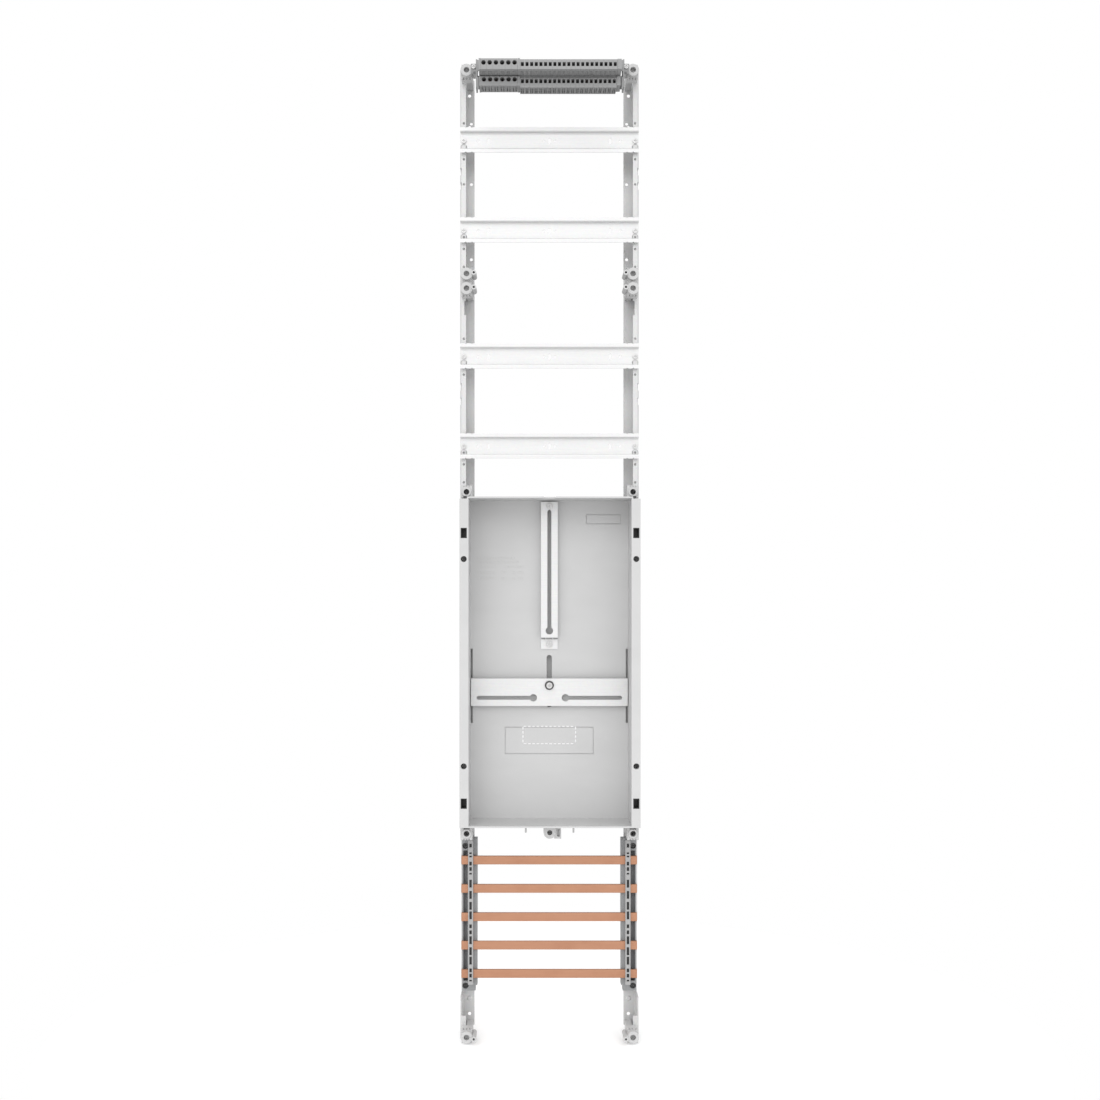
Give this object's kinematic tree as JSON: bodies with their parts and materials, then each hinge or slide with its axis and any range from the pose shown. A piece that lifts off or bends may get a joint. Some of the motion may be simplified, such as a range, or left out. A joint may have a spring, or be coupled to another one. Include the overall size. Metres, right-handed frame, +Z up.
{
  "type": "meter field insert for switchboard cabinet",
  "caption": "Inner fittings of a meter field: folded side profiles, mounting rails, terminal block, meter tray with sliding cross and copper busbars.",
  "frame": {"origin": "centre of the four cabinet fixing holes, on the back plane", "axes": "+X to the right and +Z up as seen from the front, the front faces -Y"},
  "size_m": [0.2486, 0.1324, 1.35],
  "materials": {
    "zinc_sheet": "zinc-plated sheet, satin",
    "rail_steel": "bright zinc-plated sheet",
    "screw_steel": "zinc-plated",
    "dark_steel": "dark passivated",
    "post_plastic": "moulded, light grey",
    "terminal_plastic": "moulded, mid grey",
    "tray_plastic": "moulded, light grey, fine texture",
    "black_plastic": "moulded, black",
    "support_plastic": "moulded, mid grey",
    "comb_plastic": "moulded, near white",
    "busbar_copper": "drawn copper, satin",
    "contact_copper": "tinned copper, satin"
  },
  "bodies": {
    "kit": {"profile_top_left": "zinc_sheet", "profile_top_right": "zinc_sheet", "profile_upper_left": "zinc_sheet", "profile_upper_right": "zinc_sheet", "profile_lower_left": "zinc_sheet", "profile_lower_right": "zinc_sheet", "cover_post_1_left": "post_plastic", "cover_post_1_right": "post_plastic", "cover_post_2_left": "post_plastic", "cover_post_2_right": "post_plastic", "cover_post_3_left": "post_plastic", "cover_post_3_right": "post_plastic", "cover_post_4_left": "post_plastic", "cover_post_4_right": "post_plastic", "tray_post_top_left": "post_plastic", "tray_post_top_right": "post_plastic", "tray_post_bottom_left": "post_plastic", "tray_post_bottom_right": "post_plastic", "mounting_rail_1": "rail_steel", "mounting_rail_2": "rail_steel", "mounting_rail_3": "rail_steel", "mounting_rail_4": "rail_steel", "terminal_rail": "rail_steel", "terminal_bracket_left": "terminal_plastic", "terminal_bracket_right": "terminal_plastic", "rail_screws": "screw_steel", "upright_rail_screws": "screw_steel", "bracket_screws": "screw_steel", "support_screws": "dark_steel", "large_terminal_1": "terminal_plastic", "large_terminal_2": "terminal_plastic", "large_terminal_3": "terminal_plastic", "large_terminal_4": "terminal_plastic", "large_terminal_5": "terminal_plastic", "large_terminal_6": "terminal_plastic", "small_terminals": "terminal_plastic", "group_partition": "terminal_plastic", "end_plate_left": "terminal_plastic", "end_clamp_right": "terminal_plastic", "large_current_bars": "contact_copper", "small_current_bars": "contact_copper", "meter_tray": "tray_plastic", "cover_sockets": "black_plastic", "comb_liners": "black_plastic", "upright_meter_rail": "rail_steel", "seal_catch": "post_plastic", "busbar_1": "busbar_copper", "busbar_2": "busbar_copper", "busbar_3": "busbar_copper", "busbar_4": "busbar_copper", "busbar_5": "busbar_copper", "busbar_support_left": "support_plastic", "busbar_support_right": "support_plastic", "busbar_comb_left": "comb_plastic", "busbar_comb_right": "comb_plastic"},
    "cross_rail": {"cross_meter_rail": "rail_steel", "clamp_washer": "dark_steel", "clamp_nut": "screw_steel"},
    "clamp_screw": {"clamp_screw": "screw_steel"},
    "catch_screw": {"catch_screw": "dark_steel"}
  },
  "joints": [
    {"name": "cross_rail_slide", "type": "slide", "parent": "kit", "child": "cross_rail", "axis": [0, 0, 1], "range_m": [-0.025, 0.038]},
    {"name": "clamp_screw_turn", "type": "hinge", "parent": "cross_rail", "child": "clamp_screw", "pos_m": [0, -0.035, -0.1835], "axis": [0, -1, 0], "continuous": true},
    {"name": "catch_screw_turn", "type": "hinge", "parent": "kit", "child": "catch_screw", "pos_m": [0, -0.06, -0.384], "axis": [0, -1, 0], "range_deg": [0, 90]}
  ]
}
